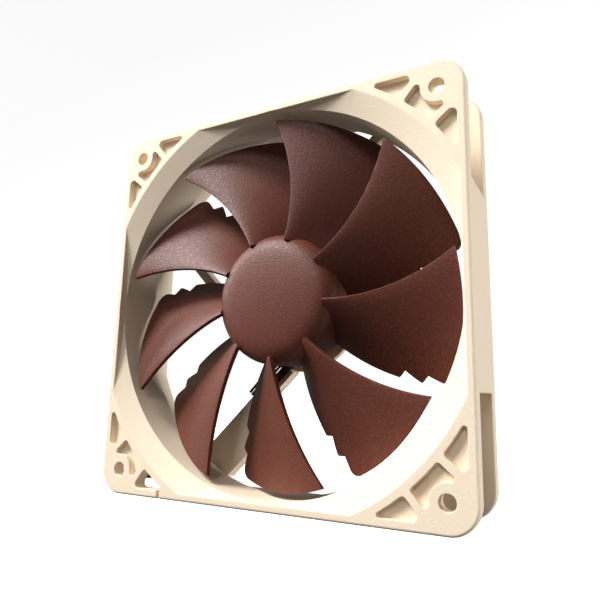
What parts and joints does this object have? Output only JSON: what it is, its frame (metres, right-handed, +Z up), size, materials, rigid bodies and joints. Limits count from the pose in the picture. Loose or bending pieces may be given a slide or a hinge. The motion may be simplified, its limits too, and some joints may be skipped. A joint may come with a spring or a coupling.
{
  "type": "case fan",
  "caption": "Square axial case fan with a domed bladed impeller on a brushless motor, open flanged corners with screw holes, and a short sleeved lead that ends in a plug.",
  "frame": {"origin": "middle of the bottom edge that the fan stands on, centred in its depth", "axes": "+Z up, the impeller's axis along Y, intake face towards -Y, exhaust and struts towards +Y"},
  "size_m": [0.1274, 0.0518, 0.12],
  "materials": {
    "frame_plastic": "moulded beige plastic, fine spark-eroded grain",
    "blade_plastic": "moulded brown plastic, matt with a soft sheen",
    "black_plastic": "moulded black plastic",
    "nylon": "natural nylon",
    "steel": "plain steel",
    "lamination": "stacked silicon steel sheets",
    "brass": "plain brass",
    "sintered_bronze": "oil-filled sintered bronze",
    "copper": "enamelled copper wire",
    "ferrite": "pressed ferrite magnet",
    "board": "glass fibre board with solder resist",
    "label_paper": "plain blank label",
    "lead_rubber": "black sleeve and insulation"
  },
  "bodies": {
    "frame": {"housing": "frame_plastic", "bearing_tube": "brass", "bearing_bush": "sintered_bronze", "oil_seal": "nylon", "thrust_plate": "steel", "stator_core": "lamination", "insulator_rear": "nylon", "insulator_front": "nylon", "winding_1": "copper", "winding_2": "copper", "winding_3": "copper", "winding_4": "copper", "circuit_board": "board", "hall_sensor": "black_plastic", "driver_chip": "black_plastic", "capacitor": "black_plastic", "rear_label": "label_paper", "motor_wire_1": "lead_rubber", "motor_wire_2": "lead_rubber", "motor_wire_3": "lead_rubber", "lead_sleeve": "lead_rubber", "lead_run": "lead_rubber", "lead_coil": "lead_rubber", "plug_housing": "black_plastic", "plug_contact_1": "brass", "plug_contact_2": "brass", "plug_contact_3": "brass"},
    "rotor": {"impeller": "blade_plastic", "rotor_yoke": "steel", "magnet_ring": "ferrite", "shaft": "steel", "shaft_insert": "brass", "shaft_clip": "nylon"}
  },
  "joints": [
    {"name": "impeller_spin", "type": "hinge", "parent": "frame", "child": "rotor", "pos_m": [0, 0, 0.06], "axis": [0, 1, 0], "continuous": true}
  ]
}
